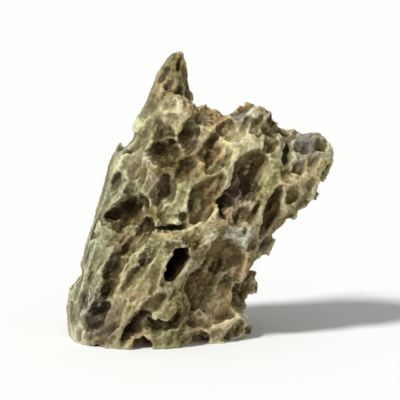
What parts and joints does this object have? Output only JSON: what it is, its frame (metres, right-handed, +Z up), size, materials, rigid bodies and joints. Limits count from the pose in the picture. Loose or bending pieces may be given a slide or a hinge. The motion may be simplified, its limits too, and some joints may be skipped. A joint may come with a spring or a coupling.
{
  "type": "dragon stone",
  "caption": "Leaning lump of weathered mudstone with a horn at one side, riddled with deep pits and thin ridges, worn flat underneath; scenery for an aquarium or a planted tank.",
  "frame": {"origin": "middle of the bounding box's footprint, on the surface the stone stands on", "axes": "+Z up from the worn base, +X towards the overhanging wing, -Y towards the face with the large scoop and the deep pocket"},
  "size_m": [0.1224, 0.0686, 0.1294],
  "materials": {
    "stone": "dull, earthy, fine-grained"
  },
  "bodies": {
    "root": {"dragon_stone": "stone"}
  },
  "joints": []
}
